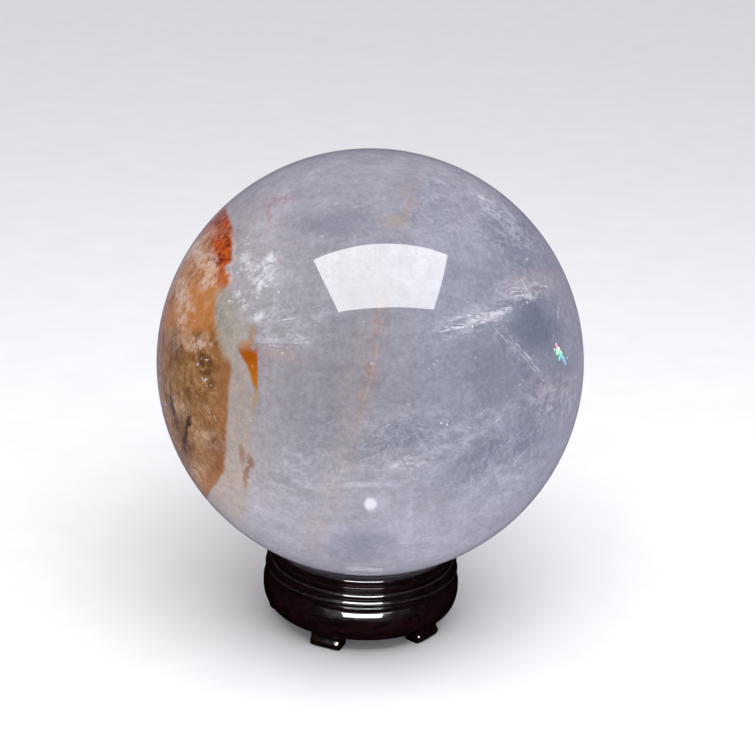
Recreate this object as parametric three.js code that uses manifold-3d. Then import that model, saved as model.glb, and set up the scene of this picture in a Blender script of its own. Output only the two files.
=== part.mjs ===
// A polished quartz ball resting in a small turned ring stand with five carved feet.
// Millimetres, +Z up. The origin is on the floor under the centre, and the front of the stand faces -Y.

import * as THREE from "three";
import { mergeVertices } from "three/addons/utils/BufferGeometryUtils.js";
import Module from "manifold-3d";

const wasm = await Module();
wasm.setup();

// Driving dimensions.
const BALL_RADIUS = 50;
const BALL_CENTRE_Z = 65.75;
const CLEARANCE = 0.3;
const BORE_RADIUS = 16;

// Heights of the stand's levels above the floor.
const RIM_TOP_Z = 19.97;
const LEDGE_UNDERSIDE_Z = 12.9;
const BASE_UNDERSIDE_Z = 3.5;
const BASE_TOP_Z = LEDGE_UNDERSIDE_Z - CLEARANCE;

// The spigot under the upper ring, and the rebate in the lower ring that it is glued into.
const SPIGOT_RADIUS = 18.5;
const SPIGOT_BOTTOM_Z = 9.6;
const REBATE_RADIUS = SPIGOT_RADIUS + CLEARANCE;
const REBATE_FLOOR_Z = SPIGOT_BOTTOM_Z - CLEARANCE;

// The land on which the ball rests is a narrow band cut to the ball's own curve.
const LAND_OUTER_RADIUS = 20.8;
const LAND_INNER_RADIUS = 19.4;

// Outer mouldings of the upper ring, as radius and height of each bead's or cove's centre.
const LEDGE_RADIUS = 23.7;
const COVE = { radius: 23.5, z: 14.7, size: 1.1 };
const LOWER_BEAD = { radius: 22.55, z: 15.55, size: 0.8 };
const FILLET_RADIUS = 22.85;
const FILLET_Z = 17.5;
const UPPER_BEAD = { radius: 21.9, z: 19, size: 1 };

// The lower ring swells to its widest under a round shoulder and tucks in to its bottom edge.
const WAIST_RADIUS = 24.1;
const SHOULDER_SIZE = 2.7;
const TUCK_START_Z = 7.75;
const BOTTOM_EDGE_RADIUS = 21.7;

const FOOT_COUNT = 5;
const FIRST_FOOT_ANGLE = THREE.MathUtils.degToRad(-21.5);
const FOOT_WIDTH = 7.6;
const FOOT_TOP_Z = BASE_UNDERSIDE_Z - CLEARANCE;
const FOOT_HEEL_RADIUS = 17.2;
const TOE_CENTRE_RADIUS = 21.3;
const TOE_SIZE = 1.1;
const FOOT_EDGE_ROUNDING = 0.4;

const PEG_RADIUS = 1.2;
const PEG_HOLE_RADIUS = PEG_RADIUS + CLEARANCE;
const PEG_CENTRE_RADIUS = 19.3;
const PEG_BOTTOM_Z = 1.6;
const PEG_TOP_Z = 7.5;

const RING_SEGMENTS = 60;
const PEG_SEGMENTS = 12;
const ARC_DIVISIONS = 3;

const quartz = new THREE.MeshStandardMaterial({ color: 0xc9c6d4, roughness: 0.08, metalness: 0 });
const lacqueredWood = new THREE.MeshStandardMaterial({ color: 0x1f0c0c, roughness: 0.12, metalness: 0 });
const pegWood = new THREE.MeshStandardMaterial({ color: 0xb58f5e, roughness: 0.7, metalness: 0 });

// A closed three.js geometry as a manifold-3d solid.
function solidFrom(geometry) {
  const bare = geometry.clone();
  bare.deleteAttribute("normal");
  bare.deleteAttribute("uv");
  const merged = mergeVertices(bare, 1e-4);
  const mesh = new wasm.Mesh({
    numProp: 3,
    vertProperties: merged.attributes.position.array,
    triVerts: new Uint32Array(merged.index.array),
  });
  return new wasm.Manifold(mesh);
}

function geometryFrom(solid) {
  const mesh = solid.getMesh();
  const geometry = new THREE.BufferGeometry();
  geometry.setAttribute("position", new THREE.BufferAttribute(mesh.vertProperties, 3));
  geometry.setIndex(new THREE.BufferAttribute(mesh.triVerts, 1));
  geometry.computeVertexNormals();
  return geometry;
}

function namedMesh(name, geometry, material) {
  const mesh = new THREE.Mesh(geometry, material.clone());
  mesh.name = name;
  return mesh;
}

// A closed path of radius and height, turned about the Z axis.
function turned(path) {
  path.closePath();
  const geometry = new THREE.LatheGeometry(path.getPoints(ARC_DIVISIONS), RING_SEGMENTS);
  return geometry.rotateX(Math.PI / 2);
}

// An upright cylinder between two heights.
function uprightPin(radius, bottomZ, topZ) {
  const geometry = new THREE.CylinderGeometry(radius, radius, topZ - bottomZ, PEG_SEGMENTS);
  geometry.rotateX(Math.PI / 2);
  return geometry.translate(0, 0, (bottomZ + topZ) / 2);
}

function footAngle(index) {
  return FIRST_FOOT_ANGLE + (index * 2 * Math.PI) / FOOT_COUNT;
}

// Height of the seat land at a radius: the ball's surface, less the clearance.
function landZ(radius) {
  const reach = BALL_RADIUS + CLEARANCE;
  return BALL_CENTRE_Z - Math.sqrt(reach * reach - radius * radius);
}

function makeBall() {
  const geometry = new THREE.SphereGeometry(BALL_RADIUS, 56, 28);
  geometry.rotateX(Math.PI / 2);
  geometry.translate(0, 0, BALL_CENTRE_Z);
  return namedMesh("crystal_ball", geometry, quartz);
}

function makeSeatRing() {
  const landMiddleRadius = (LAND_OUTER_RADIUS + LAND_INNER_RADIUS) / 2;
  const path = new THREE.Path();
  path.moveTo(BORE_RADIUS, SPIGOT_BOTTOM_Z);
  path.lineTo(SPIGOT_RADIUS, SPIGOT_BOTTOM_Z);
  path.lineTo(SPIGOT_RADIUS, LEDGE_UNDERSIDE_Z);
  path.lineTo(LEDGE_RADIUS - 0.2, LEDGE_UNDERSIDE_Z);
  path.lineTo(LEDGE_RADIUS, LEDGE_UNDERSIDE_Z + 0.2);
  path.lineTo(LEDGE_RADIUS, COVE.z - COVE.size - 0.15);
  path.absarc(COVE.radius, COVE.z, COVE.size, 1.5 * Math.PI, Math.PI, true);
  path.absarc(LOWER_BEAD.radius, LOWER_BEAD.z, LOWER_BEAD.size, -0.42 * Math.PI, 0.67 * Math.PI);
  path.lineTo(FILLET_RADIUS, FILLET_Z);
  path.lineTo(FILLET_RADIUS, FILLET_Z + 0.4);
  path.absarc(UPPER_BEAD.radius, UPPER_BEAD.z, UPPER_BEAD.size, -0.33 * Math.PI, 0.55 * Math.PI);
  path.lineTo(LAND_OUTER_RADIUS, RIM_TOP_Z);
  path.lineTo(LAND_OUTER_RADIUS, landZ(LAND_OUTER_RADIUS));
  path.lineTo(landMiddleRadius, landZ(landMiddleRadius));
  path.lineTo(LAND_INNER_RADIUS, landZ(LAND_INNER_RADIUS));
  path.quadraticCurveTo(18.2, 16.4, BORE_RADIUS, 15.2);
  return namedMesh("seat_ring", turned(path), lacqueredWood);
}

function makeBaseRing() {
  const path = new THREE.Path();
  const tuckDepth = WAIST_RADIUS - BOTTOM_EDGE_RADIUS;
  const tuckHeight = TUCK_START_Z - BASE_UNDERSIDE_Z;
  const shoulderZ = BASE_TOP_Z - SHOULDER_SIZE;
  path.moveTo(BORE_RADIUS, BASE_UNDERSIDE_Z);
  path.lineTo(BOTTOM_EDGE_RADIUS, BASE_UNDERSIDE_Z);
  path.absellipse(BOTTOM_EDGE_RADIUS, TUCK_START_Z, tuckDepth, tuckHeight, -Math.PI / 2, 0);
  path.lineTo(WAIST_RADIUS, shoulderZ);
  path.absarc(WAIST_RADIUS - SHOULDER_SIZE, shoulderZ, SHOULDER_SIZE, 0, Math.PI / 2);
  path.lineTo(REBATE_RADIUS, BASE_TOP_Z);
  path.lineTo(REBATE_RADIUS, REBATE_FLOOR_Z);
  path.lineTo(BORE_RADIUS, REBATE_FLOOR_Z);
  let ring = solidFrom(turned(path));
  for (let i = 0; i < FOOT_COUNT; i++) {
    const hole = uprightPin(PEG_HOLE_RADIUS, BASE_UNDERSIDE_Z - 1, PEG_TOP_Z + CLEARANCE);
    hole.translate(0, -PEG_CENTRE_RADIUS, 0);
    hole.rotateZ(footAngle(i));
    ring = ring.subtract(solidFrom(hole));
  }
  return namedMesh("base_ring", geometryFrom(ring), lacqueredWood);
}

// One foot, made at the front of the stand: its side outline is drawn in radius and height.
function footGeometry() {
  const outline = new THREE.Shape();
  outline.moveTo(FOOT_HEEL_RADIUS + 0.6, 0);
  outline.lineTo(TOE_CENTRE_RADIUS, 0);
  outline.absarc(TOE_CENTRE_RADIUS, TOE_SIZE, TOE_SIZE, -Math.PI / 2, Math.PI / 3);
  outline.lineTo(TOE_CENTRE_RADIUS, FOOT_TOP_Z);
  outline.lineTo(FOOT_HEEL_RADIUS, FOOT_TOP_Z);
  outline.closePath();
  const geometry = new THREE.ExtrudeGeometry(outline, {
    depth: FOOT_WIDTH - 2 * FOOT_EDGE_ROUNDING,
    curveSegments: 6,
    bevelThickness: FOOT_EDGE_ROUNDING,
    bevelSize: FOOT_EDGE_ROUNDING,
    bevelOffset: -FOOT_EDGE_ROUNDING,
    bevelSegments: 2,
  });
  geometry.translate(0, 0, FOOT_EDGE_ROUNDING - FOOT_WIDTH / 2);
  geometry.rotateX(Math.PI / 2);
  geometry.rotateZ(-Math.PI / 2);
  const hole = uprightPin(PEG_HOLE_RADIUS, PEG_BOTTOM_Z - CLEARANCE, FOOT_TOP_Z + 1);
  hole.translate(0, -PEG_CENTRE_RADIUS, 0);
  return geometryFrom(solidFrom(geometry).subtract(solidFrom(hole)));
}

function makeFoot(index) {
  const foot = namedMesh("foot_" + (index + 1), footGeometry(), lacqueredWood);
  foot.rotation.z = footAngle(index);
  return foot;
}

function makeFootPeg(index) {
  const geometry = uprightPin(PEG_RADIUS, PEG_BOTTOM_Z, PEG_TOP_Z);
  geometry.translate(0, -PEG_CENTRE_RADIUS, 0);
  const peg = namedMesh("foot_peg_" + (index + 1), geometry, pegWood);
  peg.rotation.z = footAngle(index);
  return peg;
}

const stand = new THREE.Group();
stand.add(makeSeatRing(), makeBaseRing());
for (let i = 0; i < FOOT_COUNT; i++) {
  stand.add(makeFoot(i), makeFootPeg(i));
}

const crystalBallOnStand = new THREE.Group();
crystalBallOnStand.add(makeBall(), stand);

export default crystalBallOnStand;
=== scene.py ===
import math
import random

import bpy
from mathutils import Matrix, Vector


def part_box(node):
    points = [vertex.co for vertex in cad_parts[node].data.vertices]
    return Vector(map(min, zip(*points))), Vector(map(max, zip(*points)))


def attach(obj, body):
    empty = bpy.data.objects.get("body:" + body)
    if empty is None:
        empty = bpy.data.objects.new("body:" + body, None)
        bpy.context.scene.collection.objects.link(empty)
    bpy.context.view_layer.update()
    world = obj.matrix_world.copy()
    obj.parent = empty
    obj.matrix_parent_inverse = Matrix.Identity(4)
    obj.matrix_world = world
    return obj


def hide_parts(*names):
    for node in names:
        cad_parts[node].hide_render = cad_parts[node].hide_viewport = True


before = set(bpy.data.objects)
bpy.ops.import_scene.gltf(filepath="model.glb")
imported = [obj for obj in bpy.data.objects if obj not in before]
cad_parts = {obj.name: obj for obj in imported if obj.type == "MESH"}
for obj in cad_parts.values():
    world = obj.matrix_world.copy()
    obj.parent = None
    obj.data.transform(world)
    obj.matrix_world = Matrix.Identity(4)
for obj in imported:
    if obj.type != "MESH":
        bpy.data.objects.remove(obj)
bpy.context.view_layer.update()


# ---------------------------------------------------------------- sizes, in metres

MM = 0.001

ball_low, ball_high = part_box("crystal_ball")
BALL_CENTRE = (ball_low + ball_high) / 2
BALL_RADIUS = (ball_high.z - ball_low.z) / 2

# The cloudy heart of the stone lies under a clearer outer skin, as a share of the ball's radius.
HEART = 0.92

# The air between the ball and its seat, and the feet's places round the stand.
SEAT_GAP = 0.3 * MM
FOOT_COUNT = 5
FIRST_FOOT_BEARING = math.radians(-21.5)

# The view is from above the front, and leans a little.
VIEW_HEIGHT = math.radians(21)
VIEW_LEAN = math.radians(2.5)
VIEW_DISTANCE = 8 * BALL_RADIUS
LENS = 80.9

# The directions of the stone as it is set down: its right, its top and its face.
STONE_FACE = Vector((0, -math.cos(VIEW_HEIGHT), math.sin(VIEW_HEIGHT)))
LEVEL = Vector((1, 0, 0))
UPRIGHT = Vector((0, math.sin(VIEW_HEIGHT), math.cos(VIEW_HEIGHT)))
STONE_RIGHT = math.cos(VIEW_LEAN) * LEVEL + math.sin(VIEW_LEAN) * UPRIGHT
STONE_TOP = math.cos(VIEW_LEAN) * UPRIGHT - math.sin(VIEW_LEAN) * LEVEL
STONE_TURN = Matrix((STONE_RIGHT, STONE_TOP, STONE_FACE))


# ---------------------------------------------------------------- shader maths


class Field:
    """A value that varies over a surface: a shader socket that takes part in Python sums."""

    def __init__(self, finish, socket):
        self.finish = finish
        self.socket = socket

    def sum(self, operation, *values):
        inputs = dict(enumerate(values))
        return self.finish.add("ShaderNodeMath", {"operation": operation}, inputs)

    def __add__(self, other):
        return self.sum("ADD", self, other)

    def __radd__(self, other):
        return self.sum("ADD", other, self)

    def __sub__(self, other):
        return self.sum("SUBTRACT", self, other)

    def __rsub__(self, other):
        return self.sum("SUBTRACT", other, self)

    def __mul__(self, other):
        return self.sum("MULTIPLY", self, other)

    def __rmul__(self, other):
        return self.sum("MULTIPLY", other, self)

    def at_least(self, other):
        return self.sum("MAXIMUM", self, other)

    def size(self):
        return self.sum("ABSOLUTE", self)

    def rise(self, low, high, depth=1.0):
        """0 up to low, the depth from high, and a smooth slope between them."""
        settings = {"interpolation_type": "SMOOTHSTEP"}
        inputs = {"Value": self, "From Min": low, "From Max": high, "To Max": depth}
        return self.finish.add("ShaderNodeMapRange", settings, inputs)

    def fall(self, low, high, depth=1.0):
        """The depth up to low, 0 from high, and a smooth slope between them."""
        settings = {"interpolation_type": "SMOOTHSTEP"}
        inputs = {"Value": self, "From Min": high, "From Max": low, "To Max": depth}
        return self.finish.add("ShaderNodeMapRange", settings, inputs)


class Finish:
    """A material that is being built: its Principled surface and the nodes that feed it."""

    def __init__(self, name, **plain):
        self.material = bpy.data.materials.new(name)
        self.material.use_nodes = True
        self.tree = self.material.node_tree
        self.surface = self.tree.nodes["Principled BSDF"]
        self.set(**plain)

    def add(self, kind, settings=None, inputs=None, output=0):
        """A new node of that kind, with its settings made first and then its sockets fed."""
        node = self.tree.nodes.new(kind)
        for name, value in (settings or {}).items():
            if name == "stops":
                self.fill_ramp(node.color_ramp, value)
            else:
                setattr(node, name, value)
        for name, value in (inputs or {}).items():
            self.feed(node.inputs[name], value)
        return Field(self, node.outputs[output])

    def fill_ramp(self, ramp, stops):
        while len(ramp.elements) < len(stops):
            ramp.elements.new(1)
        for element, (position, colour) in zip(ramp.elements, stops):
            element.position = position
            element.color = colour

    def feed(self, socket, value):
        if isinstance(value, Field):
            self.tree.links.new(value.socket, socket)
        else:
            socket.default_value = value

    def set(self, **sockets):
        """Feeds the surface's sockets, whose names are written with underscores."""
        for name, value in sockets.items():
            socket = self.surface.inputs[name.replace("_", " ").title().replace("Ior", "IOR")]
            self.feed(socket, value)

    def place(self, scale=(1, 1, 1), turn=(0, 0, 0), shift=(0, 0, 0)):
        """The point on the piece, scaled, then turned, then shifted."""
        point = self.add("ShaderNodeTexCoord", output=3)
        inputs = {"Vector": point, "Scale": scale, "Rotation": turn, "Location": shift}
        return self.add("ShaderNodeMapping", None, inputs)

    def parts(self, point):
        """The three numbers of a vector."""
        split = self.add("ShaderNodeSeparateXYZ", None, {0: point}).socket.node
        return [Field(self, output) for output in split.outputs]

    def vector(self, x, y, z):
        return self.add("ShaderNodeCombineXYZ", None, {0: x, 1: y, 2: z})

    def stretch(self, point, scale, turn=(0, 0, 0)):
        inputs = {"Vector": point, "Scale": scale, "Rotation": turn}
        return self.add("ShaderNodeMapping", None, inputs)

    def noise(self, point, scale, detail=3.0, roughness=0.5, distortion=0.0):
        inputs = {"Vector": point, "Scale": scale, "Detail": detail}
        inputs.update({"Roughness": roughness, "Distortion": distortion})
        return self.add("ShaderNodeTexNoise", None, inputs)

    def cells(self, point, scale, feature="F1", output=0):
        settings = {"feature": feature}
        return self.add("ShaderNodeTexVoronoi", settings, {"Vector": point, "Scale": scale}, output)

    def mix(self, share, first, second):
        """The first colour where the share is 0, and the second where it is 1."""
        settings = {"data_type": "RGBA"}
        return self.add("ShaderNodeMix", settings, {0: share, 6: first, 7: second}, 2)

    def shade(self, colour, brightness):
        """A colour made lighter or darker by a number that varies."""
        return self.add("ShaderNodeHueSaturation", None, {"Color": colour, "Value": brightness})

    def bump(self, height, distance, strength=1.0):
        inputs = {"Height": height, "Distance": distance, "Strength": strength}
        self.set(normal=self.add("ShaderNodeBump", None, inputs))


def paint(red, green, blue):
    """A colour on the usual scale of 0 to 255, as a shader's linear colour."""
    shares = [value / 255 for value in (red, green, blue)]
    linear = [s / 12.92 if s < 0.04045 else ((s + 0.055) / 1.055) ** 2.4 for s in shares]
    return (*linear, 1)


# ---------------------------------------------------------------- camera, light and floor


def place_camera():
    """Looks down at the ball, past its middle by a little on the right and below."""
    data = bpy.data.cameras.new("camera")
    data.sensor_width = 36
    data.lens = LENS
    data.clip_start = 0.01
    data.clip_end = 100
    camera = bpy.data.objects.new("camera", data)
    bpy.context.scene.collection.objects.link(camera)
    aim = BALL_CENTRE + 1.7 * MM * STONE_RIGHT - 3.6 * MM * STONE_TOP
    camera.location = BALL_CENTRE + VIEW_DISTANCE * STONE_FACE
    towards = (aim - camera.location).normalized()
    right = towards.cross(STONE_TOP).normalized()
    turn = Matrix((right, right.cross(towards), -towards)).transposed()
    camera.rotation_euler = turn.to_euler()
    bpy.context.scene.camera = camera


def add_softbox(name, centre, size, turn, power, shine):
    """A flat rectangular softbox that is either seen in polished surfaces or lights the rest."""
    data = bpy.data.lights.new(name, "AREA")
    data.shape = "RECTANGLE"
    data.size, data.size_y = size
    data.energy = power
    softbox = bpy.data.objects.new(name, data)
    bpy.context.scene.collection.objects.link(softbox)
    softbox.location = centre
    softbox.rotation_euler = turn
    softbox.visible_camera = False
    softbox.visible_glossy = shine
    softbox.visible_diffuse = not shine
    softbox.visible_transmission = not shine
    return softbox


def light_the_set():
    """One large softbox overhead and towards the front, and an even pale surround."""
    height = 9 * BALL_RADIUS
    above = BALL_CENTRE + Vector((0.095, -0.52, 1)) * height
    size = (1.13 * height, 0.75 * height)
    turn = (0, 0, math.radians(8.9))
    shine_power = 5.6
    glow_power = 3
    add_softbox("softbox_shine", above, size, turn, shine_power, True)
    add_softbox("softbox_glow", above, size, turn, glow_power, False)
    world = bpy.data.worlds.new("studio")
    bpy.context.scene.world = world
    world.use_nodes = True
    sky = world.node_tree.nodes["Background"]
    sky.inputs["Color"].default_value = (0.97, 0.97, 1, 1)
    sky.inputs["Strength"].default_value = 0.92
    world.cycles_visibility.glossy = False
    bpy.context.scene.view_settings.view_transform = "Standard"


def light_the_stand(pieces):
    """A low front softbox for the stand alone, which the ball would otherwise keep in shadow."""
    rise = math.radians(38)
    side = math.radians(4)
    distance = 0.5
    size = (0.36, 0.2)
    power = 9
    towards = Vector((math.sin(side) * math.cos(rise), -math.cos(side) * math.cos(rise), math.sin(rise)))
    turn = towards.to_track_quat("Z", "Y").to_euler()
    beads = Vector((0, 0, 15 * MM))
    softbox = add_softbox("stand_shine", beads + distance * towards, size, turn, power, True)
    stand = bpy.data.collections.new("stand_pieces")
    for piece in pieces:
        stand.objects.link(piece)
    softbox.light_linking.receiver_collection = stand


def lay_floor():
    finish = Finish("pale_floor", roughness=0.9, specular_ior_level=0.2)
    grain = finish.noise(finish.place(), 60, 4)
    finish.set(base_color=finish.mix(grain, paint(222, 222, 224), paint(230, 230, 231)))
    bpy.ops.mesh.primitive_plane_add(size=8)
    floor = bpy.context.object
    floor.name = "floor"
    floor.visible_glossy = False
    floor.data.materials.append(finish.material)


# ---------------------------------------------------------------- modelling helpers


def deselect_all():
    bpy.ops.object.select_all(action="DESELECT")


def start_editing():
    bpy.ops.object.mode_set(mode="EDIT")
    bpy.ops.mesh.select_all(action="SELECT")


def stop_editing():
    bpy.ops.object.mode_set(mode="OBJECT")


def settle(piece, name, material, smooth_angle=40):
    """Puts a finished piece's place into its mesh, names it and gives it its material."""
    deselect_all()
    piece.select_set(True)
    bpy.context.view_layer.objects.active = piece
    bpy.ops.object.transform_apply(location=True, rotation=True, scale=True)
    bpy.ops.object.shade_smooth_by_angle(angle=math.radians(smooth_angle))
    piece.name = name
    piece.data.name = name
    piece.data.materials.clear()
    piece.data.materials.append(material)
    return piece


def draw_outline(points):
    """A closed line through the points, which is drawn by extruding a single corner; stays in editing."""
    deselect_all()
    bpy.ops.mesh.primitive_plane_add(size=1)
    piece = bpy.context.object
    start_editing()
    bpy.ops.mesh.merge(type="COLLAPSE")
    bpy.ops.transform.translate(value=points[0])
    for before, after in zip(points, points[1:] + points[:1]):
        step = Vector(after) - Vector(before)
        bpy.ops.mesh.extrude_region_move(TRANSFORM_OT_translate={"value": step})
    bpy.ops.mesh.select_all(action="SELECT")
    bpy.ops.mesh.remove_doubles(threshold=0.001 * MM)
    return piece


def arc(centre, radius, start, end, steps=10):
    """Points in millimetres along a round of a side outline, as radius and height."""
    angles = [math.radians(start + (end - start) * i / steps) for i in range(steps + 1)]
    return [(centre[0] + radius * math.cos(a), centre[1] + radius * math.sin(a)) for a in angles]


def turn_ring(name, outline, material):
    """A ring turned from a closed side outline, given in millimetres as radius and height."""
    ring = draw_outline([(radius * MM, 0, height * MM) for radius, height in outline])
    bpy.ops.mesh.spin(steps=180, angle=2 * math.pi, center=(0, 0, 0), axis=(0, 0, 1))
    bpy.ops.mesh.select_all(action="SELECT")
    bpy.ops.mesh.remove_doubles(threshold=0.002 * MM)
    bpy.ops.mesh.normals_make_consistent(inside=False)
    stop_editing()
    return settle(ring, name, material, 35)


# ---------------------------------------------------------------- the stone


def stone_place(finish, reach):
    """The point on the stone, in its own directions, where 1 is the outer radius given."""
    scale = 1 / reach
    shift = STONE_TURN @ BALL_CENTRE * -scale
    turn = STONE_TURN.to_euler()
    return finish.place([scale] * 3, turn, shift)


class Markings:
    """Paints marks on the stone, which are placed by their distance right of and above its middle."""

    def __init__(self, finish):
        self.finish = finish
        self.point = stone_place(finish, HEART * BALL_RADIUS)
        self.x, self.y, self.z = finish.parts(self.point)
        wander = finish.noise(self.point, 8, 4, 0.6) - 0.5
        jitter = finish.noise(self.point, 34, 3, 0.65) - 0.5
        self.ragged = wander * 0.07 + jitter * 0.035
        self.dots = finish.cells(self.point, 46).fall(0.1, 0.34)
        self.wispy = finish.noise(finish.stretch(self.point, (1, 2.6, 2), (0, 0, -0.45)), 11, 6, 0.68)
        self.grain = finish.noise(self.point, 48, 3, 0.7)
        self.mottle = finish.noise(self.point, 17, 5, 0.7, 0.2)
        # Ovals lie flat on the face, and anything far behind it is outside them all.
        behind = self.z.fall(0.0, 0.2, 9)
        self.maps = {}
        for raggedness in (0, 0.35, 1, 2):
            right = self.x + self.ragged * raggedness
            top = self.y - self.ragged * raggedness
            # One neutral mapping turns the three numbers into a vector once, for all the ovals.
            self.maps[raggedness] = finish.stretch(finish.vector(right, top, behind), (1, 1, 1))
        self.colour = paint(160, 160, 170)

    def blend(self, share, colour):
        self.colour = self.finish.mix(share, self.colour, colour)

    def shade(self, brightness):
        self.colour = self.finish.shade(self.colour, brightness)

    def oval(self, centre, size, turn=0, soft=0.5, ragged=1, depth=1.0):
        """The depth inside an oval and 0 outside it; only on the stone's face, not on its back."""
        spread = 1 + soft
        settings = {"vector_type": "TEXTURE"}
        inputs = {"Vector": self.maps[ragged], "Location": (*centre, 0)}
        inputs["Rotation"] = (0, 0, math.radians(turn))
        inputs["Scale"] = (size[0] * spread, size[1] * spread, 1)
        inside = self.finish.add("ShaderNodeMapping", settings, inputs)
        settings = {"gradient_type": "SPHERICAL"}
        hill = self.finish.add("ShaderNodeTexGradient", settings, {"Vector": inside}, 1)
        return hill.rise(0, 2 * soft / spread, depth)

    def streak(self, start, end, width, ragged=0.35, depth=1.0):
        """A long thin oval from start to end."""
        middle = ((start[0] + end[0]) / 2, (start[1] + end[1]) / 2)
        run = (end[0] - start[0], end[1] - start[1])
        turn = math.degrees(math.atan2(run[1], run[0]))
        size = (math.hypot(*run) * 0.56, width)
        return self.oval(middle, size, turn, 0.5, ragged, depth)

    def line(self, joints, width, ragged=0.35, depth=1.0):
        """A bent line of streaks through the given points."""
        masks = [self.streak(a, b, width, ragged, depth) for a, b in zip(joints, joints[1:])]
        whole = masks[0]
        for mask in masks[1:]:
            whole = whole.at_least(mask)
        return whole

    def profile(self, value, stops):
        """A number that follows straight lines through stops of value and result, all within -1 and 1."""
        ramp = [((at + 1) / 2, (0, 0, 0, (level + 1) / 2)) for at, level in stops]
        inputs = {"Fac": (value + 1) * 0.5}
        return self.finish.add("ShaderNodeValToRGB", {"stops": ramp}, inputs, 1) * 2 - 1


def paint_milk(marks):
    """The milky ground: lighter towards the ends and the left, greyer and bluer on the right."""
    finish, x, y = marks.finish, marks.x, marks.y
    across = [
        (0.14, paint(186, 181, 187)),
        (0.3, paint(176, 172, 180)),
        (0.42, paint(161, 158, 168)),
        (0.56, paint(162, 162, 174)),
        (0.72, paint(163, 166, 180)),
        (0.86, paint(152, 155, 172)),
        (1.0, paint(174, 174, 190)),
    ]
    marks.colour = finish.add("ShaderNodeValToRGB", {"stops": across}, {"Fac": (x + 1) * 0.5})
    ends = (y + marks.ragged).size().rise(0.35, 0.95)
    marks.blend(ends * 0.75, paint(180, 177, 190))
    clouds = finish.noise(marks.point, 2.3, 5, 0.6, 0.4)
    marks.shade(clouds.rise(0.3, 0.7) * 0.12 + 0.94)
    veil_place = finish.stretch(marks.point, (1, 3, 2), (0, 0, -0.45))
    veils = finish.noise(veil_place, 4.2, 7, 0.68, 0.9)
    marks.shade(veils.rise(0.34, 0.68) * 0.16 + 0.92)
    upright_place = finish.stretch(marks.point, (4.5, 0.9, 2), (0, 0, -0.12))
    upright = finish.noise(upright_place, 3, 5, 0.6)
    marks.shade(upright.rise(0.36, 0.66) * 0.1 + 0.95)
    # A painted light rim: the stone is made lighter near its edge as seen from the front, in place of the
    # glow of light scattered there.
    rim = marks.z.fall(0.1, 0.5) * marks.z.rise(-0.6, 0)
    marks.blend(rim * 0.3, paint(186, 186, 200))


def paint_far_side(marks):
    """Veils and healed fractures on the sides and back, like those that show on the face."""
    finish = marks.finish
    far = marks.z.fall(-0.15, 0.25)
    curls = marks.wispy.rise(0.4, 0.64)
    sheets = finish.noise(finish.stretch(marks.point, (1.4, 3.2, 1.4), (0.3, 0.4, -0.5)), 1.5, 4, 0.55, 0.6)
    marks.blend((sheets - 0.5).size().fall(0.0, 0.035, 0.7) * curls * far, paint(232, 230, 240))
    marks.blend(sheets.rise(0.56, 0.72, 0.5) * curls * far, paint(212, 210, 222))
    marks.blend(sheets.fall(0.3, 0.44, 0.5) * far, paint(128, 134, 150))
    warm = finish.noise(finish.stretch(marks.point, (2.6, 1, 2.6), (0.2, 0, 0.2)), 2, 4, 0.6)
    marks.blend((warm - 0.5).size().fall(0.0, 0.02, 0.5) * curls * far, paint(190, 150, 136))


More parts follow.
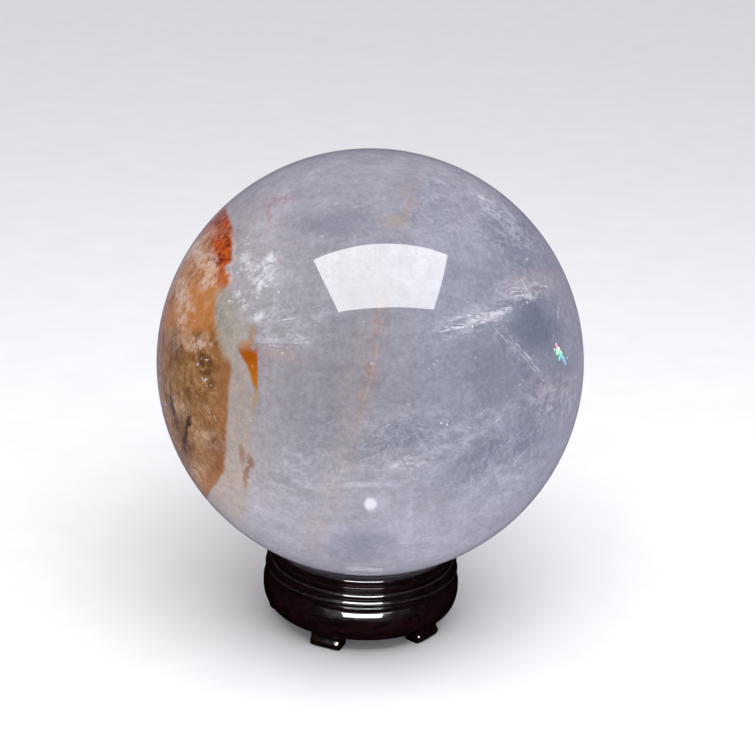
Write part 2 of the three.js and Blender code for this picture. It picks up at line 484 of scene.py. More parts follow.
def paint_clouds_and_wisps(marks):
    """Darker clear patches, white wisps and painted glints inside the milky part."""
    dark_spots = [
        ((-0.16, 0.62), (0.17, 0.06), 8, 0.4),
        ((0.27, 0.72), (0.1, 0.14), 20, 0.3),
        ((0.72, 0.17), (0.12, 0.12), -20, 0.7),
        ((0.44, 0.02), (0.14, 0.16), 10, 0.25),
        ((0.62, 0.6), (0.12, 0.09), -40, 0.4),
        ((0.79, 0.15), (0.06, 0.07), 0, 0.4),
        ((-0.04, -0.83), (0.12, 0.08), 0, 0.55),
        ((0.48, -0.44), (0.16, 0.07), 35, 0.35),
        ((0.1, -0.33), (0.2, 0.05), 12, 0.3),
        ((0.62, 0.5), (0.06, 0.1), 30, 0.2),
        ((-0.3, -0.3), (0.12, 0.25), 0, 0.15),
        ((0.66, -0.4), (0.1, 0.02), 38, 0.5),
        ((0.5, -0.4), (0.11, 0.018), 32, 0.45),
        ((0.45, -0.5), (0.1, 0.02), 45, 0.4),
        ((0.08, -0.28), (0.13, 0.016), 10, 0.35),
        ((0.12, -0.36), (0.12, 0.014), 18, 0.3),
        ((0.68, 0.66), (0.1, 0.03), -48, 0.4),
        ((0.83, -0.2), (0.05, 0.06), 30, 0.35),
    ]
    for centre, size, turn, depth in dark_spots:
        marks.blend(marks.oval(centre, size, turn, 0.7, 1, depth), paint(120, 128, 146))
    curls = marks.wispy.rise(0.42, 0.68)
    light_spots = [
        ((-0.48, 0.4), (0.13, 0.17), -20, 0.3),
        ((-0.42, 0.18), (0.22, 0.07), 12, 0.55),
        ((-0.4, 0.1), (0.18, 0.025), 2, 0.7),
        ((0.42, 0.17), (0.2, 0.06), 16, 0.75),
        ((0.68, 0.33), (0.17, 0.05), 14, 0.7),
        ((0.84, -0.16), (0.14, 0.1), 0, 0.55),
        ((0.6, 0.68), (0.18, 0.06), -42, 0.65),
        ((0.22, -0.45), (0.2, 0.06), 18, 0.5),
        ((0.45, -0.3), (0.25, 0.05), 25, 0.45),
        ((0.3, 0.85), (0.07, 0.12), 5, 0.4),
        ((-0.25, -0.5), (0.2, 0.14), 0, 0.4),
        ((0.6, -0.55), (0.2, 0.1), 40, 0.35),
        ((0.66, 0.05), (0.15, 0.04), -42, 0.45),
        ((0.1, -0.25), (0.25, 0.05), 5, 0.35),
    ]
    for centre, size, turn, depth in light_spots:
        spot = marks.oval(centre, size, turn, 0.6, 1, depth)
        marks.blend(spot * curls, paint(220, 221, 233))
    crinkle = marks.finish.noise(marks.point, 8, 5, 0.65, 1.0)
    folds = (crinkle - 0.5).size().fall(0, 0.04)
    crumpled = [
        ((0.62, 0.62), (0.2, 0.13), -45, 0.5),
        ((0.64, -0.42), (0.24, 0.13), 35, 0.3),
        ((-0.45, 0.4), (0.16, 0.16), 0, 0.2),
        ((0.3, 0.7), (0.13, 0.18), 0, 0.3),
        ((0.1, -0.38), (0.32, 0.13), 10, 0.3),
    ]
    for centre, size, turn, depth in crumpled:
        marks.blend(marks.oval(centre, size, turn, 0.8, 1, depth) * folds, paint(216, 216, 229))
    # Painted glints: white spots where the sparkle cluster and the fractures catch the light.
    painted_glint_spots = [
        ((-0.55, 0.43), (0.03, 0.05), 10),
        ((-0.46, 0.42), (0.04, 0.03), 30),
        ((-0.44, 0.46), (0.02, 0.025), 0),
        ((-0.49, 0.355), (0.05, 0.03), 25),
        ((-0.57, 0.31), (0.035, 0.02), 10),
        ((-0.56, 0.25), (0.02, 0.02), 0),
        ((-0.49, 0.2), (0.04, 0.02), 20),
        ((0.5, 0.19), (0.07, 0.015), 18),
        ((0.59, 0.225), (0.05, 0.012), 16),
        ((0.72, 0.3), (0.07, 0.012), 14),
        ((0.76, 0.36), (0.06, 0.01), 14),
        ((0.53, 0.73), (0.04, 0.02), -40),
        ((0.16, -0.44), (0.05, 0.015), 25),
    ]
    bright = marks.mottle.rise(0.42, 0.58)
    for centre, size, turn in painted_glint_spots:
        marks.blend(marks.oval(centre, size, turn, 0.6, 1, 0.85) * bright, paint(240, 240, 248))
    marks.blend(marks.oval((-0.02, -0.546), (0.1, 0.012), 0, 0.7, 0, 0.5), paint(214, 217, 228))
    # A painted reflection: the round white spot low on the face and its soft halo are the softbox's image
    # seen inside the stone.
    marks.blend(marks.oval((0, -0.635), (0.024, 0.026), 0, 0.5, 0), paint(250, 252, 255))
    marks.blend(marks.oval((0.03, -0.63), (0.055, 0.04), 0, 0.7, 1, 0.3), paint(214, 219, 230))


def paint_warm_veils(marks):
    """The faint orange-brown veil down the middle and the pink tints near it and on the right."""
    curls = marks.wispy.rise(0.34, 0.62)
    middle = [(0.045, 0.28), (0.035, 0.1), (-0.005, -0.08), (-0.05, -0.26)]
    marks.blend(marks.oval((-0.04, 0.0), (0.08, 0.26), -12, 0.8, 1, 0.3), paint(172, 156, 152))
    marks.blend(marks.line(middle, 0.026, 1, 0.5) * curls, paint(180, 150, 134))
    marks.blend(marks.streak((-0.05, -0.2), (-0.26, -0.84), 0.07, 1, 0.35) * curls, paint(184, 168, 160))
    thread = marks.line([(0.055, 0.18), (0.0, -0.08), (-0.035, -0.2)], 0.006, 0.35, 0.2)
    marks.blend(thread, paint(208, 198, 198))
    marks.blend(marks.oval((-0.005, -0.05), (0.012, 0.04), 0, 0.7, 1, 0.25), paint(180, 126, 106))
    marks.blend(marks.oval((0.1, 0.63), (0.05, 0.035), 25, 0.8, 2, 0.35), paint(192, 176, 138))
    marks.blend(marks.oval((0.17, 0.72), (0.03, 0.12), -15, 0.8, 2, 0.3), paint(192, 160, 150))
    marks.blend(marks.streak((0.6, 0.32), (0.87, 0.4), 0.06, 1, 0.35), paint(194, 172, 182))
    marks.blend(marks.streak((0.73, -0.12), (0.98, -0.14), 0.06, 1, 0.4) * curls, paint(200, 176, 190))
    marks.blend(marks.oval((-0.41, 0.03), (0.07, 0.025), 8, 0.8, 2, 0.35), paint(206, 168, 156))
    dotted = marks.dots
    red = marks.line([(-0.35, 0.737), (-0.472, 0.741), (-0.452, 0.62)], 0.016, 0.35, 0.9)
    marks.blend(red * (dotted * 0.7 + 0.2), paint(184, 104, 90))
    red_dots = [
        ((-0.57, 0.52), (0.02, 0.06), 0.8),
        ((-0.45, 0.5), (0.16, 0.12), 0.2),
        ((-0.42, 0.46), (0.02, 0.02), 0.6),
        ((-0.48, -0.04), (0.025, 0.12), 0.4),
        ((-0.4, 0.0), (0.1, 0.06), 0.22),
        ((-0.25, -0.02), (0.1, 0.12), 0.15),
    ]
    for centre, size, depth in red_dots:
        spot = marks.oval(centre, size, 0, 0.7, 1, depth)
        marks.blend(spot * dotted, paint(206, 122, 98))


def paint_iron_end(marks):
    """The iron-stained end of the stone, beyond a ragged fracture plane on the left."""
    finish, x, y = marks.finish, marks.x, marks.y
    edge_stops = [
        (-0.75, -0.86),
        (-0.61, -0.74),
        (-0.49, -0.66),
        (0.0, -0.618),
        (0.12, -0.665),
        (0.226, -0.69),
        (0.31, -0.675),
        (0.36, -0.628),
        (0.4, -0.64),
        (0.43, -0.665),
        (0.46, -0.63),
        (0.6, -0.626),
        (0.8, -0.7),
    ]
    edge = marks.profile(y, edge_stops)
    past_edge = edge - x - marks.ragged * 0.45
    stained = past_edge.rise(-0.01, 0.014)

    down = [
        (0.06, paint(176, 136, 110)),
        (0.26, paint(172, 126, 88)),
        (0.4, paint(158, 114, 70)),
        (0.5, paint(166, 118, 68)),
        (0.56, paint(180, 128, 78)),
        (0.64, paint(210, 142, 80)),
        (0.74, paint(214, 162, 124)),
        (0.86, paint(192, 128, 90)),
        (1.0, paint(180, 140, 116)),
    ]
    soft_y = (y + marks.ragged * 1.5 + 1) * 0.5
    stain = finish.add("ShaderNodeValToRGB", {"stops": down}, {"Fac": soft_y})
    blotches = finish.noise(marks.point, 9, 6, 0.7, 0.3)
    fine = finish.noise(marks.point, 27, 5, 0.75, 0.2)
    upper = (y + marks.ragged * 2).rise(0.05, 0.35)
    light = finish.mix(upper, paint(200, 164, 118), paint(236, 208, 186))
    stain = finish.mix(blotches.rise(0.5, 0.62) * (upper * 0.55 + 0.3), stain, light)
    dark = finish.mix(upper, paint(112, 78, 44), paint(168, 88, 36))
    stain = finish.mix(blotches.fall(0.38, 0.48, 0.6), stain, dark)
    stain = finish.mix(fine.rise(0.5, 0.64, 0.4), stain, paint(232, 188, 146))
    stain = finish.mix(fine.fall(0.36, 0.48, 0.5), stain, paint(108, 66, 34))
    patches = finish.noise(marks.point, 3.1, 4, 0.55, 0.8)
    away = marks.z.fall(-0.1, 0.4)
    stain = finish.mix(patches.rise(0.54, 0.66, 0.75) * away, stain, paint(222, 188, 152))
    stain = finish.mix(patches.fall(0.36, 0.46, 0.7) * away, stain, paint(140, 66, 22))
    fringe = past_edge.rise(-0.13, -0.01) * marks.wispy.rise(0.4, 0.62) * away
    marks.blend(fringe * 0.7, paint(214, 190, 176))
    marks.blend(stained, stain)

    strip = past_edge.fall(0.02, 0.12, 0.65) * stained * y.fall(0, 0.12)
    marks.blend(strip, paint(172, 116, 72))
    band = marks.line([(-0.98, 0.16), (-0.86, 0.24), (-0.75, 0.31), (-0.65, 0.37)], 0.045, 1, 0.85)
    marks.blend(band * stained, paint(207, 140, 78))
    marks.blend(marks.oval((-0.8, 0.19), (0.08, 0.1), 0, 0.7, 2, 0.6) * stained, paint(218, 142, 74))
    marks.blend(marks.oval((-0.69, 0.25), (0.05, 0.08), 0, 0.7, 2, 0.6) * stained, paint(206, 140, 74))
    rust = marks.line([(-0.69, 0.76), (-0.67, 0.6), (-0.672, 0.42)], 0.058, 2)
    deep = finish.mix(fine.rise(0.42, 0.56), paint(132, 38, 6), paint(214, 98, 24))
    marks.blend(rust * stained, deep)
    marks.blend(marks.oval((-0.665, 0.38), (0.035, 0.05), 20, 0.6, 1, 0.9) * stained, paint(196, 104, 50))
    pale_spots = [
        ((-0.8, 0.52), (0.03, 0.08), 25, 0.8),
        ((-0.86, 0.31), (0.035, 0.07), 15, 0.85),
        ((-0.74, 0.37), (0.03, 0.05), -20, 0.75),
        ((-0.86, 0.19), (0.03, 0.05), 20, 0.75),
        ((-0.79, 0.09), (0.06, 0.03), 0, 0.7),
        ((-0.72, 0.47), (0.02, 0.04), 0, 0.5),
        ((-0.9, 0.1), (0.03, 0.05), 0, 0.35),
        ((-0.88, -0.22), (0.05, 0.04), 30, 0.25),
        ((-0.72, -0.35), (0.06, 0.03), -30, 0.3),
        ((-0.82, -0.5), (0.05, 0.04), 0, 0.3),
    ]
    pale = fine.rise(0.36, 0.56)
    for centre, size, turn, depth in pale_spots:
        spot = marks.oval(centre, size, turn, 0.7, 2, depth)
        marks.blend(spot * stained * pale, paint(240, 220, 204))
    dark_spots = [
        ((-0.757, 0.01), (0.014, 0.03), 0, 0.75),
        ((-0.722, 0.0), (0.012, 0.03), 20, 0.6),
        ((-0.735, -0.05), (0.03, 0.01), 10, 0.6),
        ((-0.715, -0.09), (0.012, 0.03), 0, 0.45),
        ((-0.78, 0.13), (0.03, 0.02), 0, 0.45),
        ((-0.9, 0.05), (0.04, 0.1), 0, 0.35),
        ((-0.905, -0.2), (0.01, 0.09), 8, 0.9),
        ((-0.84, -0.3), (0.01, 0.07), -14, 1.0),
        ((-0.855, -0.38), (0.012, 0.05), 10, 0.8),
        ((-0.88, -0.3), (0.03, 0.05), 0, 0.4),
        ((-0.86, -0.45), (0.05, 0.09), -10, 0.35),
        ((-0.7, -0.42), (0.05, 0.1), -10, 0.25),
    ]
    for centre, size, turn, depth in dark_spots:
        spot = marks.oval(centre, size, turn, 0.7, 1, depth)
        marks.blend(spot * stained, paint(58, 38, 26))


def paint_contact_marks(marks):
    """What lies along the fracture: a greenish lens, an amber wedge and a cream strip with brown loops."""
    finish, x, y = marks.finish, marks.x, marks.y
    lens = marks.oval((-0.647, 0.17), (0.05, 0.16), 8, 0.3, 0.35, 0.85)
    lens_colour = finish.mix(marks.mottle.rise(0.3, 0.7), paint(168, 163, 150), paint(196, 190, 176))
    marks.blend(lens, lens_colour)
    marks.blend(marks.oval((-0.575, 0.12), (0.04, 0.1), 0, 0.8, 1, 0.4), paint(196, 186, 166))

    left = x - marks.profile(y, [(-0.61, -0.74), (-0.49, -0.66), (0.0, -0.618)])
    right = x - marks.profile(y, [(-0.9, -0.64), (-0.6, -0.55), (-0.15, -0.515), (0.1, -0.56)])
    cream = (right + marks.ragged * 0.4).fall(-0.03, 0.03) * (left + marks.ragged * 0.45).rise(-0.014, 0.01)
    cream = cream * y.fall(-0.02, 0.08) * y.rise(-0.95, -0.55)
    marks.blend(cream * 0.75, paint(184, 172, 164))
    marks.blend(cream * marks.wispy.rise(0.42, 0.62) * 0.55, paint(204, 186, 172))
    loops = [
        ((-0.575, -0.42), (0.012, 0.05), 5, 0.7),
        ((-0.55, -0.5), (0.012, 0.06), -18, 0.75),
        ((-0.535, -0.45), (0.014, 0.035), 25, 0.65),
        ((-0.56, -0.56), (0.01, 0.03), 0, 0.4),
    ]
    for centre, size, turn, depth in loops:
        marks.blend(marks.oval(centre, size, turn, 0.7, 1, depth), paint(156, 110, 82))
    pink = marks.line([(-0.625, 0.56), (-0.617, 0.47), (-0.64, 0.42), (-0.618, 0.36)], 0.013, 2, 0.7)
    marks.blend(pink, paint(226, 204, 200))

    # The wedge is bounded by a straight right edge, and narrows to a point at its lower end.
    inside_right = (x + marks.ragged * 0.12).fall(-0.506, -0.496)
    inside_left = (x + 0.505 + (y + 0.14) * 0.44 + marks.ragged * 0.5).rise(-0.004, 0.014)
    wedge = inside_right * inside_left * (y + marks.ragged).fall(0.04, 0.09) * y.rise(-0.16, -0.12)
    amber = finish.mix(y.rise(-0.1, 0.06), paint(206, 124, 8), paint(182, 88, 6))
    marks.blend(wedge * marks.z.rise(0, 0.2), amber)
    marks.blend(marks.oval((-0.55, 0.075), (0.035, 0.02), 15, 0.6, 1, 0.6), paint(190, 120, 44))
    marks.blend(marks.oval((-0.525, 0.12), (0.014, 0.05), 0, 0.8, 1, 0.6), paint(192, 148, 72))
    marks.blend(marks.streak((-0.505, -0.12), (-0.518, -0.22), 0.01, 0.35, 0.6), paint(192, 156, 100))


def heart_stone():
    """Milky quartz with an iron-stained end beyond a fracture plane on its left."""
    finish = Finish("heart_stone", roughness=0.6, specular_ior_level=0.1)
    marks = Markings(finish)
    paint_milk(marks)
    paint_far_side(marks)
    paint_clouds_and_wisps(marks)
    paint_warm_veils(marks)
    paint_iron_end(marks)
    paint_contact_marks(marks)
    marks.shade(marks.grain.rise(0.3, 0.7, 0.2) + marks.mottle.rise(0.3, 0.7, 0.14) + 0.86)
    finish.set(base_color=marks.colour)
    # A painted glow: the stone's own colour is given off as emission in its lower half, in place of light
    # scattered inside it.
    height = finish.parts(finish.place())[2]
    glow_full = BALL_CENTRE.z - 0.62 * BALL_RADIUS
    glow_end = BALL_CENTRE.z + 0.3 * BALL_RADIUS
    low = height.fall(glow_full, glow_end, 0.47)
    glow = finish.mix(low, (0, 0, 0, 1), marks.colour)
    finish.set(emission_color=glow, emission_strength=1.0)
    return finish.material


def clear_skin():
    """The clear polished outer part of the quartz, with a soft lavender bloom towards its rim."""
    finish = Finish("clear_skin", base_color=(1, 1, 1, 1), ior=1.54, transmission_weight=1.0)
    finish.set(sheen_weight=0.28, sheen_roughness=0.3, sheen_tint=(0.78, 0.76, 1, 1))
    haze = finish.noise(finish.place(), 240, 3)
    finish.set(roughness=haze.rise(0.45, 0.75) * 0.02 + 0.008)
    return finish.material


def add_globe(name, radius, cuts, material):
    """A globe from a cube whose faces are divided and then rounded out, so that it has no poles."""
    deselect_all()
    bpy.ops.mesh.primitive_cube_add(size=2, location=BALL_CENTRE)
    globe = bpy.context.object
    start_editing()
    bpy.ops.mesh.subdivide(number_cuts=cuts)
    bpy.ops.transform.tosphere(value=1)
    stop_editing()
    reach = sum(v.co.length for v in globe.data.vertices) / len(globe.data.vertices)
    globe.scale = [radius / reach] * 3
    return settle(globe, name, material, 180)


def join_ball(piece):
    """Says that a piece belongs to the ball and moves with it."""
    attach(piece, "ball")
    return piece


# ---------------------------------------------------------------- fractures inside the skin


def open_fracture(name, openness):
    """Air-filled fractures, which are white where they are open and vanish where they close."""
    finish = Finish(name, base_color=paint(250, 248, 253), roughness=0.35)
    broken = finish.noise(finish.place(), 900, 4, 0.65)
    finish.set(alpha=broken.rise(0.3, 0.6, openness))
    return finish.material


def glint_facet():
    """Tiny facets whose near-white colour is partly white specks and partly painted glints; their gloss
    throws light back too.
    """
    finish = Finish("glint_facet", roughness=0.2, ior=1.54)
    sparkle = finish.noise(finish.place(), 900, 2)
    finish.set(base_color=finish.mix(sparkle, paint(226, 230, 240), paint(250, 250, 253)))
    return finish.material


def rainbow_facet():
    """A fracture so thin that it shows bands of rainbow colour."""
    finish = Finish("rainbow_facet", roughness=0.25, ior=1.54)
    point = stone_place(finish, HEART * BALL_RADIUS)
    x, y, z = finish.parts(point)
    swirl = finish.noise(point, 60, 3) - 0.5
    height = (y - x * 0.4 + swirl * 0.1 + 0.37) * 6
    bands = [
        (0.05, paint(150, 190, 232)),
        (0.2, paint(150, 228, 240)),
        (0.36, paint(140, 238, 186)),
        (0.46, paint(236, 250, 236)),
        (0.6, paint(255, 246, 252)),
        (0.68, paint(236, 110, 160)),
        (0.76, paint(250, 236, 246)),
        (0.92, paint(206, 120, 180)),
    ]
    colour = finish.add("ShaderNodeValToRGB", {"stops": bands}, {"Fac": height})
    # The bands are also given off as emission: a painted glow that makes them bright.
    finish.set(base_color=colour, emission_color=colour, emission_strength=0.5)
    return finish.material


def make_chip(corners):
    """A thin flat chip, 1 long and 1 wide about the origin, with a slightly uneven outline."""
    deselect_all()
    bpy.ops.mesh.primitive_circle_add(vertices=corners, radius=0.5, fill_type="NGON")
    chip = bpy.context.object
    start_editing()
    bpy.ops.mesh.inset(thickness=0.18)
    bpy.ops.transform.translate(value=(0.03, 0.05, 0.12))
    bpy.ops.mesh.select_all(action="SELECT")
    bpy.ops.transform.vertex_random(offset=0.14, seed=corners)
    stop_editing()
    return chip


def lay_chip(chip, outward, reach, turn, size, tilt):
    """A copy of a chip at a share of the ball's radius, turned about the way it faces."""
    outward = outward.normalized()
    right = (STONE_RIGHT - outward * STONE_RIGHT.dot(outward)).normalized()
    top = outward.cross(right)
    along = math.cos(turn) * right + math.sin(turn) * top
    across = outward.cross(along)
    facing = (outward + tilt[0] * along + tilt[1] * across).normalized()
    across = facing.cross(along).normalized()
    along = across.cross(facing)
    copy = bpy.data.objects.new("chip", chip.data.copy())
    bpy.context.scene.collection.objects.link(copy)
    length, width = size
    thickness = min(length, width) * 0.5
    grow = Matrix.Diagonal((length, width, thickness, 1))
    place = Matrix((along, across, facing)).transposed().to_4x4()
    copy.matrix_world = Matrix.Translation(BALL_CENTRE + outward * reach * BALL_RADIUS) @ place @ grow
    return copy


def from_face(x, y):
    """The direction from the ball's middle to a place right of and above the middle of its face."""
    depth = math.sqrt(max(0.0, 1 - x * x - y * y))
    return STONE_RIGHT * x + STONE_TOP * y + STONE_FACE * depth


def join_chips(chips, name, material):
    """Joins the laid copies into one piece of the ball."""
    deselect_all()
    for chip in chips:
        chip.select_set(True)
    bpy.context.view_layer.objects.active = chips[0]
    bpy.ops.object.join()
    return join_ball(settle(bpy.context.object, name, material, 20))


def lay_threads(chip, chance):
    """Thin jagged slivers in bundles, where fractures are seen edge on."""
    # Each bundle: start, end, spread about its line, number of slivers, their length as a share of it.
    bundles = [
        ((-0.5, 0.14), (-0.31, 0.2), 0.012, 7, 0.4),
        ((-0.53, 0.09), (-0.27, 0.076), 0.012, 9, 0.4),
        ((0.29, 0.12), (0.54, 0.2), 0.012, 16, 0.4),
        ((0.29, 0.18), (0.52, 0.22), 0.012, 9, 0.4),
        ((0.44, 0.17), (0.61, 0.235), 0.008, 14, 0.45),
        ((0.59, 0.3), (0.83, 0.375), 0.01, 12, 0.5),
        ((0.62, 0.285), (0.8, 0.33), 0.01, 10, 0.5),
        ((0.645, 0.385), (0.72, 0.303), 0.0008, 6, 0.9),
        ((0.52, 0.17), (0.79, -0.052), 0.0015, 4, 0.8),
        ((0.6, 0.08), (0.775, -0.075), 0.003, 3, 0.6),
        ((0.7, 0.01), (0.785, -0.06), 0.004, 4, 0.6),
        ((0.73, -0.24), (0.8, -0.17), 0.006, 4, 0.6),
        ((0.76, -0.12), (0.95, -0.13), 0.01, 6, 0.4),
        ((0.853, 0.34), (0.853, 0.2), 0.003, 4, 0.4),
        ((0.5, 0.76), (0.74, 0.58), 0.04, 14, 0.12),
        ((-0.06, -0.547), (0.09, -0.547), 0.002, 3, 0.5),
        ((0.085, -0.778), (-0.005, -0.892), 0.004, 4, 0.5),
        ((-0.2, -0.75), (-0.01, -0.895), 0.006, 4, 0.4),
        ((0.1, -0.45), (0.21, -0.39), 0.01, 6, 0.4),
        ((0.72, -0.3), (0.86, -0.2), 0.04, 10, 0.25),
        ((-0.6, 0.33), (-0.4, 0.4), 0.06, 14, 0.15),
        ((0.04, -0.3), (0.26, -0.28), 0.02, 7, 0.3),
        ((0.3, -0.38), (0.62, -0.22), 0.05, 9, 0.16),
        ((0.5, -0.55), (0.66, -0.4), 0.04, 6, 0.25),
        ((-0.76, -0.165), (-0.69, -0.261), 0.006, 4, 0.4),
        ((-0.91, -0.14), (-0.87, -0.2), 0.008, 3, 0.5),
        ((-0.81, -0.3), (-0.74, -0.42), 0.01, 4, 0.4),
        ((-0.2, 0.25), (-0.3, 0.12), 0.05, 5, 0.2),
    ]
    bright, faint = [], []
    for start, end, spread, number, share_long in bundles:
        run = (end[0] - start[0], end[1] - start[1])
        bearing = math.atan2(run[1], run[0])
        length = math.hypot(*run)
        for i in range(number):
            share = 0.5 + ((i + chance.random()) / number - 0.5) * (1 - share_long * 0.5)
            x = start[0] + run[0] * share + chance.gauss(0, spread)
            y = start[1] + run[1] * share + chance.gauss(0, spread)
            long = chance.uniform(0.7, 1.2) * share_long * length * BALL_RADIUS
            size = (long, chance.uniform(0.1, 0.3) * MM)
            turn = bearing + chance.gauss(0, 0.02 + 8 * spread)
            tilt = (0, chance.uniform(-0.5, 0.5))
            laid = faint if spread > 0.001 and chance.random() < 0.55 else bright
            laid.append(lay_chip(chip, from_face(x, y), chance.uniform(0.925, 0.955), turn, size, tilt))
    # The rest of the stone has its own slivers, scattered in loose parallel groups.
    far_groups = 60
    for _ in range(far_groups):
        middle = Vector([chance.gauss(0, 1) for _ in range(3)]).normalized()
        if middle.dot(STONE_FACE) > 0.3:
            continue
        bearing = chance.uniform(0.1, 0.9)
        for _ in range(chance.randint(4, 9)):
            outward = middle + Vector([chance.gauss(0, 0.05) for _ in range(3)])
            size = (chance.uniform(1.5, 6) * MM, chance.uniform(0.15, 0.4) * MM)
            turn = bearing + chance.gauss(0, 0.15)
            tilt = (0, chance.uniform(-0.5, 0.5))
            laid = faint if chance.random() < 0.6 else bright
            laid.append(lay_chip(chip, outward, chance.uniform(0.93, 0.965), turn, size, tilt))
    return bright, faint


def lay_glints(chip, chance):
    """Bright specks: the groups that stand out, and a thin scatter all through the stone."""
    # Each group: place, spread, number, size of a speck in millimetres.
    groups = [
        ((-0.545, 0.53), 0.008, 4, 0.5),
        ((-0.55, 0.43), 0.02, 5, 0.6),
        ((-0.44, 0.44), 0.015, 5, 0.7),
        ((-0.49, 0.38), 0.045, 16, 0.65),
        ((-0.58, 0.26), 0.02, 6, 0.6),
        ((-0.47, 0.2), 0.05, 8, 0.45),
        ((-0.741, 0.01), 0.012, 5, 0.75),
        ((-0.732, -0.076), 0.012, 5, 0.7),
        ((-0.775, 0.101), 0.01, 4, 0.6),
        ((-0.81, 0.09), 0.03, 6, 0.4),
        ((-0.79, 0.45), 0.05, 7, 0.4),
        ((-0.86, -0.22), 0.03, 5, 0.35),
        ((-0.37, 0.03), 0.008, 3, 0.55),
        ((-0.4, -0.035), 0.01, 2, 0.4),
        ((-0.105, 0.79), 0.003, 2, 0.4),
        ((-0.15, 0.70), 0.002, 2, 0.4),
        ((-0.072, 0.554), 0.004, 2, 0.35),
        ((0.46, 0.175), 0.012, 4, 0.6),
        ((0.6, 0.235), 0.01, 3, 0.5),
        ((0.7, 0.276), 0.012, 5, 0.65),
        ((0.7, 0.465), 0.006, 3, 0.5),
        ((0.281, -0.012), 0.008, 3, 0.45),
        ((0.322, -0.265), 0.012, 4, 0.65),
        ((0.167, -0.184), 0.004, 2, 0.45),
        ((0.673, -0.084), 0.008, 2, 0.55),
        ((0.84, 0.27), 0.01, 3, 0.4),
        ((0.77, -0.04), 0.01, 2, 0.4),
        ((0.16, -0.45), 0.02, 6, 0.55),
        ((0.2, -0.51), 0.012, 4, 0.45),
        ((-0.23, 0.16), 0.004, 2, 0.4),
        ((0.55, 0.72), 0.05, 9, 0.4),
        ((0.75, -0.3), 0.06, 8, 0.35),
        ((0.0, -0.02), 0.01, 2, 0.4),
    ]
    laid = []
    for centre, spread, number, size in groups:
        for _ in range(number):
            x = centre[0] + chance.gauss(0, spread)
            y = centre[1] + chance.gauss(0, spread)
            long = chance.uniform(0.7, 1.4) * size * MM
            wide = long * chance.uniform(0.35, 0.8)
            tilt = (chance.gauss(0, 0.3), chance.gauss(0, 0.3))
            turn = chance.uniform(0, math.pi)
            laid.append(lay_chip(chip, from_face(x, y), chance.uniform(0.93, 0.97), turn, (long, wide), tilt))
    loose_specks = 520
    for _ in range(loose_specks):
        outward = Vector([chance.gauss(0, 1) for _ in range(3)]).normalized()
        long = chance.uniform(0.18, 0.58) ** 1.4 * MM
        tilt = (chance.gauss(0, 0.3), chance.gauss(0, 0.3))
        turn = chance.uniform(0, math.pi)
        size = (long, long * chance.uniform(0.4, 0.9))
        laid.append(lay_chip(chip, outward, chance.uniform(0.925, 0.98), turn, size, tilt))
    return laid


def lay_rainbow(chip):
    """The rainbow-coloured fracture on the right of the stone, as a cluster of small bright facets."""
    # Each facet: place, turn in degrees, length and width in millimetres, share of the radius.
    facets = [
        ((0.84, 0.075), 100, (1.4, 0.9), 0.94),
        ((0.849, 0.052), 100, (2.1, 1.7), 0.945),
        ((0.836, 0.042), 90, (1.6, 1.2), 0.955),
        ((0.861, 0.034), 110, (2.1, 1.6), 0.95),
        ((0.853, 0.018), 80, (1.5, 1.2), 0.945),
        ((0.872, 0.012), 105, (1.6, 1.4), 0.955),
        ((0.882, -0.004), 80, (1.2, 1.1), 0.95),
        ((0.826, 0.056), 90, (0.8, 0.7), 0.95),
        ((0.893, 0.02), 70, (0.8, 0.6), 0.95),
        ((0.822, 0.12), 80, (0.8, 0.4), 0.95),
    ]
    laid = []
    for spot, turn, size, reach in facets:
        size = (size[0] * MM, size[1] * MM)
        laid.append(lay_chip(chip, from_face(*spot), reach, math.radians(turn), size, (0.1, -0.1)))
    return laid


def make_ball():
    skin_cuts = 48
    heart_cuts = 32
    skin = join_ball(add_globe("polished_skin", BALL_RADIUS, skin_cuts, clear_skin()))
    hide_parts("crystal_ball")
    join_ball(add_globe("cloudy_heart", HEART * BALL_RADIUS, heart_cuts, heart_stone()))
    chance = random.Random(7)
    sliver = make_chip(6)
    speck = make_chip(5)
    bright, faint = lay_threads(sliver, chance)
    join_chips(bright, "white_slivers", open_fracture("white_fracture", 0.95))
    join_chips(faint, "faint_slivers", open_fracture("faint_fracture", 0.45))
    join_chips(lay_glints(speck, chance), "bright_specks", glint_facet())
    join_chips(lay_rainbow(speck), "rainbow_fracture", rainbow_facet())
    for pattern in (sliver, speck):
        bpy.data.objects.remove(pattern)


# ---------------------------------------------------------------- the stand


def lacquered_rosewood():
    """Very dark red-brown wood under thick gloss lacquer that isn't quite level."""
    finish = Finish("lacquered_rosewood", ior=1.5, coat_weight=1.0, coat_roughness=0.04)
    finish.set(specular_ior_level=0.12)
    streaks = finish.noise(finish.place((70, 800, 900)), 1, 6, 0.62, 0.6)
    pores = finish.noise(finish.place((260, 3200, 3200)), 1, 3, 0.6)
    wood = finish.mix(streaks.rise(0.3, 0.72), paint(9, 3, 4), paint(35, 11, 13))
    wood = finish.mix(pores.fall(0.34, 0.44, 0.45), wood, paint(6, 2, 2))
    finish.set(base_color=wood, roughness=streaks * 0.12 + 0.24)
    wave = finish.noise(finish.place((150, 150, 210)), 1, 2, 0.4)
    peel = finish.noise(finish.place((1500, 1500, 1500)), 1, 2)
    finish.bump(wave + peel * 0.02, 0.6 * MM, 1.0)
    return finish.material


def plain_peg_wood():
    """Unfinished pale hardwood with fine upright grain."""
    finish = Finish("plain_peg_wood", specular_ior_level=0.3)
    grain = finish.noise(finish.place((1800, 1800, 160)), 1, 5, 0.6)
    finish.set(base_color=finish.mix(grain, paint(150, 112, 70), paint(196, 160, 112)))
    finish.set(roughness=grain * 0.2 + 0.55)
    finish.bump(grain, 0.04 * MM)
    return finish.material


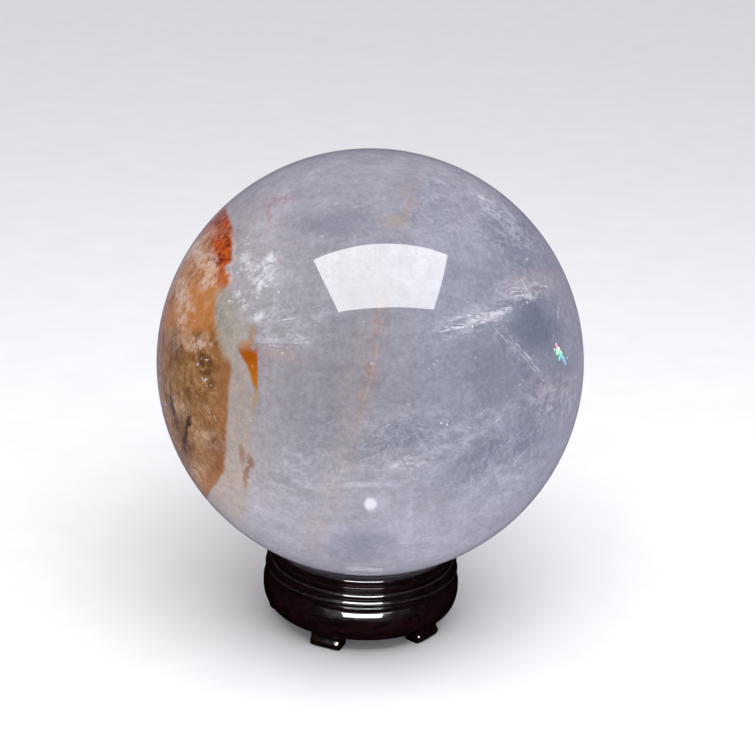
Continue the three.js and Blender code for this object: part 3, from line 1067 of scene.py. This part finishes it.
def seat_height(radius):
    """The height in millimetres of the seat, which is cut to the ball's own curve."""
    reach = (BALL_RADIUS + SEAT_GAP) / MM
    return BALL_CENTRE.z / MM - math.sqrt(reach * reach - radius * radius)


def seat_ring_outline():
    """The upper ring: a spigot, a ledge, a cove, two beads and the seat for the ball."""
    outline = [(16, 9.6), (18.5, 9.6), (18.5, 12.9), (23.6, 12.9)]
    outline += arc((23.6, 13), 0.1, -45, 60, 4)
    outline += arc((23.7, 14.5), 1.4, 268, 192, 14)
    outline += arc((22.5, 15.4), 0.85, -68, 118, 16)
    outline += [(22.3, 16.8), (22.6, 17.3)]
    outline += arc((22.5, 17.6), 0.12, -10, 70, 4)
    outline += arc((21.9, 19), 1, -50, 99, 16)
    outline += [(20.8, 19.95), (20.8, seat_height(20.8)), (20.1, seat_height(20.1))]
    outline += [(19.4, seat_height(19.4)), (18.6, 16.5), (17.6, 15.8), (16, 15.2)]
    return outline


def base_ring_outline():
    """The lower ring: a tucked-in underside, a full waist, a broad soft shoulder and a rebate."""
    outline = [(16, 3.5), (21.5, 3.5)]
    outline += arc((21.6, 3.75), 0.25, -85, -20, 5)
    tuck = arc((0, 0), 1, -62, 0, 12)
    outline += [(21.7 + 2.4 * across, 7.75 + 4.25 * up) for across, up in tuck]
    outline += arc((21.9, 9.1), 2.2, 4, 22, 5)
    outline += arc((18.84, 7.86), 5.5, 23, 38, 12)
    outline += [(22.95, 11.45), (22.98, 11.8)]
    outline += arc((22.62, 12.2), 0.38, 10, 90, 8)
    outline += [(18.8, 12.6), (18.8, 9.3), (16, 9.3)]
    return outline


def foot_outline():
    """The side of a foot: a flat sole, a full round toe and a hollow neck under the ring."""
    outline = [(17.2, 3.5), (17.4, 1.2)]
    outline += arc((18.2, 0.8), 0.8, 190, 270, 4)
    outline += arc((21.2, 1.2), 1.2, -90, 62, 12)
    outline += [(21.62, 2.6), (21.6, 3.0), (21.72, 3.5)]
    return outline


def carve_foot(name, material, bearing):
    """One foot, whose sides round in, at its bearing from the front of the stand."""
    left_side = -3.78 * MM
    middle = -19.4 * MM
    outline = [(left_side, -radius * MM, height * MM) for radius, height in foot_outline()]
    foot = draw_outline(outline)
    bpy.ops.mesh.edge_face_add()
    bpy.ops.transform.resize(value=(1, 0.8, 0.8), center_override=(0, middle, 0))
    # Each slice: how far it is drawn out in millimetres, and how much it grows.
    slices = [(0.1, 1.09), (0.25, 1.07), (0.55, 1.05), (0.9, 1.02), (1.98, 1.0), (1.98, 1.0)]
    slices += [(0.9, 1 / 1.02), (0.55, 1 / 1.05), (0.25, 1 / 1.07), (0.1, 1 / 1.09)]
    for step, growth in slices:
        bpy.ops.mesh.extrude_region_move(TRANSFORM_OT_translate={"value": (step * MM, 0, 0)})
        bpy.ops.transform.resize(value=(1, growth, growth), center_override=(0, middle, 0))
    bpy.ops.mesh.select_all(action="SELECT")
    bpy.ops.mesh.normals_make_consistent(inside=False)
    stop_editing()
    foot.rotation_euler = (0, 0, bearing)
    return settle(foot, name, material, 60)


def make_stand():
    lacquer = lacquered_rosewood()
    pieces = [turn_ring("turned_seat_ring", seat_ring_outline(), lacquer)]
    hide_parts("seat_ring")
    pieces.append(turn_ring("turned_base_ring", base_ring_outline(), lacquer))
    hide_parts("base_ring")
    for i in range(FOOT_COUNT):
        bearing = FIRST_FOOT_BEARING + i * 2 * math.pi / FOOT_COUNT
        pieces.append(carve_foot(f"carved_foot_{i + 1}", lacquer, bearing))
        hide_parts(f"foot_{i + 1}")
    for piece in pieces:
        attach(piece, "stand")
    peg_wood = plain_peg_wood()
    for i in range(FOOT_COUNT):
        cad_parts[f"foot_peg_{i + 1}"].data.materials[0] = peg_wood
    return pieces


# ---------------------------------------------------------------- making

place_camera()
light_the_set()
lay_floor()
make_ball()
light_the_stand(make_stand())
